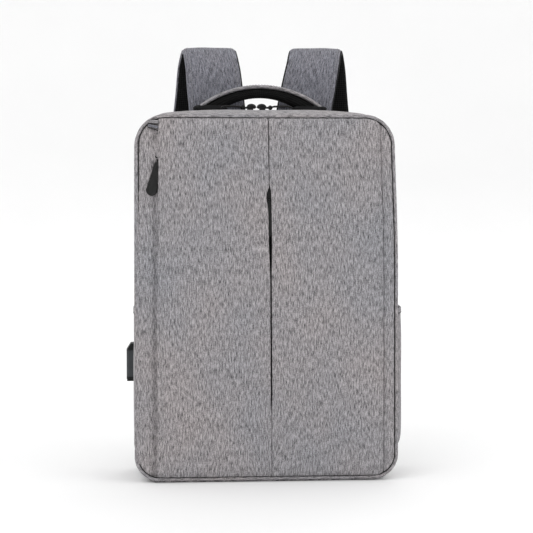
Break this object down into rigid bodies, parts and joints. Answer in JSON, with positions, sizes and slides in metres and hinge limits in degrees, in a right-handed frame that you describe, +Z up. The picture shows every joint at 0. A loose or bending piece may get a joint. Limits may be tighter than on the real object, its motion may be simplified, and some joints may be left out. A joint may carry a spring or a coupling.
{
  "type": "laptop backpack",
  "caption": "Upright padded laptop backpack with a tailgate front cover, padded shoulder straps, a top handle, front zips, side pockets and a charging socket on its side.",
  "frame": {"origin": "middle of the flat base that the bag stands on", "axes": "+Z up, -Y out of the front, +Y towards the wearer's back, +X across the bag"},
  "size_m": [0.3063, 0.1795, 0.496],
  "materials": {
    "fabric_grey": "melange woven polyester",
    "fabric_dark": "coated dark polyester",
    "lining_grey": "plain woven lining",
    "mesh_black": "spacer mesh",
    "webbing_black": "ribbed webbing",
    "zip_tape": "woven zip tape with nylon coil",
    "foam": "closed-cell foam",
    "board": "plain plastic board",
    "plastic_black": "fine moulded texture",
    "rubber_black": "smooth matt rubber",
    "slider_metal": "black painted die-cast metal",
    "socket_metal": "plated sheet steel"
  },
  "bodies": {
    "root": {"bottom_panel": "fabric_dark", "rear_wall_left": "fabric_grey", "rear_wall_right": "fabric_grey", "rear_wall_top": "fabric_grey", "main_zip_rear_half": "zip_tape", "rear_welt": "fabric_grey", "back_panel": "mesh_black", "back_stiffener": "board", "back_pad_left": "mesh_black", "back_pad_right": "mesh_black", "lumbar_pad": "mesh_black", "strap_yoke": "fabric_dark", "base_board": "board", "laptop_divider": "lining_grey", "power_bank_pocket": "lining_grey", "luggage_strap": "fabric_grey", "strap_anchors": "fabric_grey", "lower_webbing_left": "webbing_black", "lower_webbing_right": "webbing_black", "handle_anchors": "webbing_black", "usb_housing": "plastic_black", "usb_socket": "socket_metal"},
    "front_cover": {"front_wall_left": "fabric_grey", "front_wall_right": "fabric_grey", "front_wall_top": "fabric_grey", "main_zip_front_half": "zip_tape", "front_welt": "fabric_grey", "front_panel_left": "fabric_grey", "front_panel_right": "fabric_grey", "front_strip_left": "fabric_grey", "front_strip_right": "fabric_grey", "front_lining": "lining_grey", "front_zip_tape": "zip_tape", "centre_zip_tape": "zip_tape", "side_pocket_left": "fabric_grey", "side_pocket_right": "fabric_grey", "organiser_panel": "lining_grey"},
    "handle": {"handle_cover": "fabric_grey", "handle_pad": "mesh_black"},
    "usb_cover": {"usb_cover": "rubber_black"},
    "strap_left": {"strap_cover_left": "fabric_grey", "strap_foam_left": "foam", "strap_mesh_left": "mesh_black", "strap_end_loop_left": "webbing_black", "ladder_lock_left": "plastic_black", "strap_tail_left": "webbing_black"},
    "strap_right": {"strap_cover_right": "fabric_grey", "strap_foam_right": "foam", "strap_mesh_right": "mesh_black", "strap_end_loop_right": "webbing_black", "ladder_lock_right": "plastic_black", "strap_tail_right": "webbing_black"},
    "main_slider_left": {"main_slider_left": "slider_metal"},
    "main_slider_right": {"main_slider_right": "slider_metal"},
    "main_pull_left": {"main_pull_left": "rubber_black"},
    "main_pull_right": {"main_pull_right": "rubber_black"},
    "front_slider": {"front_slider": "slider_metal"},
    "front_pull": {"front_pull": "rubber_black"},
    "centre_slider": {"centre_slider": "slider_metal"},
    "centre_pull": {"centre_pull": "rubber_black"}
  },
  "joints": [
    {"name": "front_cover_hinge", "type": "hinge", "parent": "root", "child": "front_cover", "pos_m": [0, -0.054, 0.004], "axis": [1, 0, 0], "range_deg": [0, 75]},
    {"name": "strap_left_swing", "type": "hinge", "parent": "root", "child": "strap_left", "pos_m": [-0.052, 0.064, 0.4], "axis": [1, 0, 0], "range_deg": [0, 10]},
    {"name": "strap_right_swing", "type": "hinge", "parent": "root", "child": "strap_right", "pos_m": [0.052, 0.064, 0.4], "axis": [1, 0, 0], "range_deg": [0, 10]},
    {"name": "handle_tilt", "type": "hinge", "parent": "root", "child": "handle", "pos_m": [0, 0.034, 0.424], "axis": [1, 0, 0], "range_deg": [0, 20]},
    {"name": "usb_cover_flip", "type": "hinge", "parent": "root", "child": "usb_cover", "pos_m": [-0.155, 0.03, 0.1077], "axis": [0, 1, 0], "range_deg": [0, 110]},
    {"name": "main_slider_left_travel", "type": "slide", "parent": "root", "child": "main_slider_left", "axis": [-1, 0, 0], "range_m": [0, 0.06]},
    {"name": "main_slider_right_travel", "type": "slide", "parent": "root", "child": "main_slider_right", "axis": [1, 0, 0], "range_m": [0, 0.06]},
    {"name": "main_pull_left_flip", "type": "hinge", "parent": "main_slider_left", "child": "main_pull_left", "pos_m": [-0.021, 0.006, 0.4226], "axis": [0, 1, 0], "range_deg": [0, 90]},
    {"name": "main_pull_right_flip", "type": "hinge", "parent": "main_slider_right", "child": "main_pull_right", "pos_m": [0.009, 0.006, 0.4226], "axis": [0, -1, 0], "range_deg": [0, 90]},
    {"name": "front_slider_travel", "type": "slide", "parent": "front_cover", "child": "front_slider", "axis": [0, 0, -1], "range_m": [0, 0.29]},
    {"name": "front_pull_swing", "type": "hinge", "parent": "front_slider", "child": "front_pull", "pos_m": [-0.1195, -0.0578, 0.361], "axis": [0, 1, 0], "range_deg": [0, 35]},
    {"name": "centre_slider_travel", "type": "slide", "parent": "front_cover", "child": "centre_slider", "axis": [0, 0, -1], "range_m": [0, 0.2]},
    {"name": "centre_pull_swing", "type": "hinge", "parent": "centre_slider", "child": "centre_pull", "pos_m": [0.0042, -0.0578, 0.3164], "axis": [0, 1, 0], "range_deg": [-5, 5]}
  ]
}
